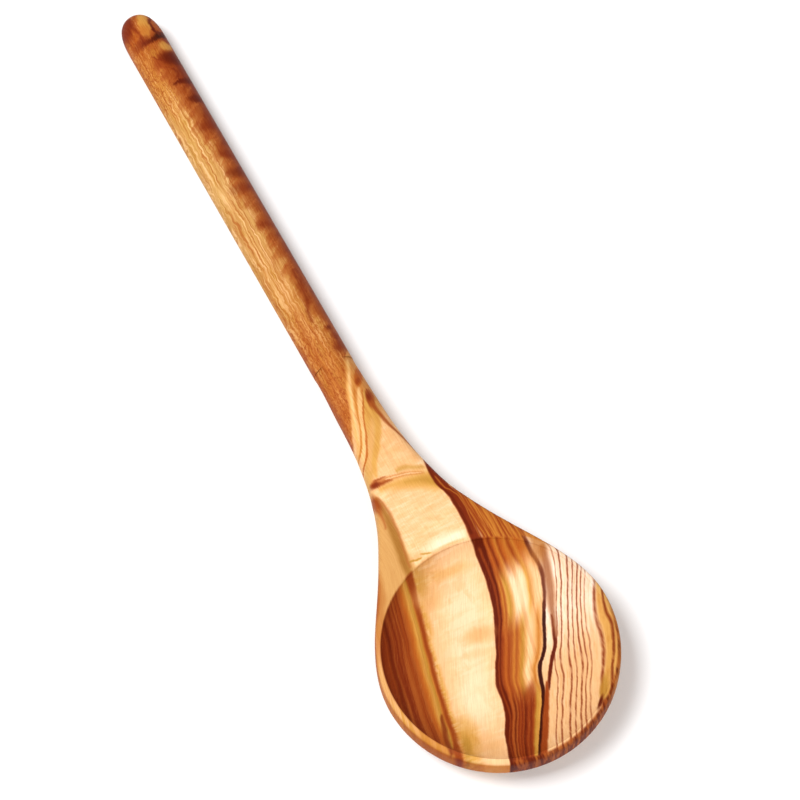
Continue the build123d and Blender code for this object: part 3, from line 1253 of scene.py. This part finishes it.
@dataclass
class Studio:
    """The soft light around the table.

    Attributes:
        sky: How bright the light from all round is.
        backdrop: How bright the camera sees it, where 1 is white.
        key_place: Where the window-like key light hangs, in metres.
        key_size: Its side, in metres.
        key_power: Its power, in watts.
        fill_place: Where the weak light on the camera's side hangs, in metres.
        fill_size: Its side, in metres.
        fill_power: Its power, in watts.
    """

    sky: float = 0.5
    backdrop: float = 1.0
    key_place: tuple[float, float, float] = (0.12, 0.50, 1.16)
    key_size: float = 0.5
    key_power: float = 15.0
    fill_place: tuple[float, float, float] = (-1.0, -0.1, 0.9)
    fill_size: float = 0.9
    fill_power: float = 5.0

    def build(self) -> Light:
        """Hang the lamps and set the world's light.

        Returns:
            The key light.
        """
        world = bpy.data.worlds.new("studio")
        bpy.context.scene.world = world
        bench = Bench(world)
        background = bench.node("ShaderNodeBackground")
        strength = bench.step(bench.seen(), 0.0, 1.0, self.sky, self.backdrop)
        bench.feed(background.inputs["Strength"], strength)
        output = bench.node("ShaderNodeOutputWorld")
        bench.feed(output.inputs[0], background.outputs[0])

        self.hang("fill", self.fill_place, self.fill_size, self.fill_power)
        return self.hang("key", self.key_place, self.key_size, self.key_power)

    def hang(self, name: str, place: tuple[float, float, float], size: float, power: float) -> Light:
        """Hang a square lamp that faces the spoon.

        Args:
            name: The lamp's name.
            place: Where it hangs, in metres.
            size: Its side, in metres.
            power: Its power, in watts.

        Returns:
            The lamp.
        """
        lamp = bpy.data.lights.new(name, "AREA")
        lamp.shape = "SQUARE"
        lamp.size = size
        lamp.energy = power
        holder = bpy.data.objects.new(name, lamp)
        holder.location = place
        holder.rotation_euler = (-Vector(place)).to_track_quat("-Z", "Y").to_euler()
        bpy.context.scene.collection.objects.link(holder)
        return lamp


@dataclass
class View:
    """The camera at the photograph's angle.

    Attributes:
        place: Where it stands, in metres.
        target: What it looks at, in metres.
        focal_length: The lens's focal length, in millimetres.
        sensor: The sensor's width, in millimetres.
        nearest: From how near on it sees things, in metres.
    """

    place: tuple[float, float, float] = (-0.330247, 0.148830, 0.779362)
    target: tuple[float, float, float] = (-0.017788, -0.015964, 0.0)
    focal_length: float = 118.326
    sensor: float = 36.0
    nearest: float = 0.01

    def build(self) -> Object:
        """Set the camera up and make it the scene's.

        Returns:
            The camera.
        """
        lens = bpy.data.cameras.new("camera")
        lens.lens = self.focal_length
        lens.sensor_width = self.sensor
        lens.clip_start = self.nearest
        camera = bpy.data.objects.new("camera", lens)
        camera.location = self.place
        sight = Vector(self.target) - Vector(self.place)
        camera.rotation_euler = sight.to_track_quat("-Z", "Y").to_euler()
        bpy.context.scene.collection.objects.link(camera)
        bpy.context.scene.camera = camera
        return camera


def main() -> None:
    """Build the scene in order and report each piece."""
    logging.basicConfig(level=logging.INFO, format="%(message)s")
    bpy.ops.object.select_all(action="DESELECT")
    spoon = Spoon().dress()
    log.info("spoon: %d faces", len(spoon.data.polygons))
    table = Table().build()
    log.info("table: %.1f m wide", table.dimensions.x)
    lamp = Studio().build()
    log.info("key light: %.1f W", lamp.energy)
    camera = View().build()
    log.info("camera: %.3f m above the table", camera.location.z)
    bpy.context.scene.view_settings.view_transform = "Standard"


if __name__ == "__main__":
    main()
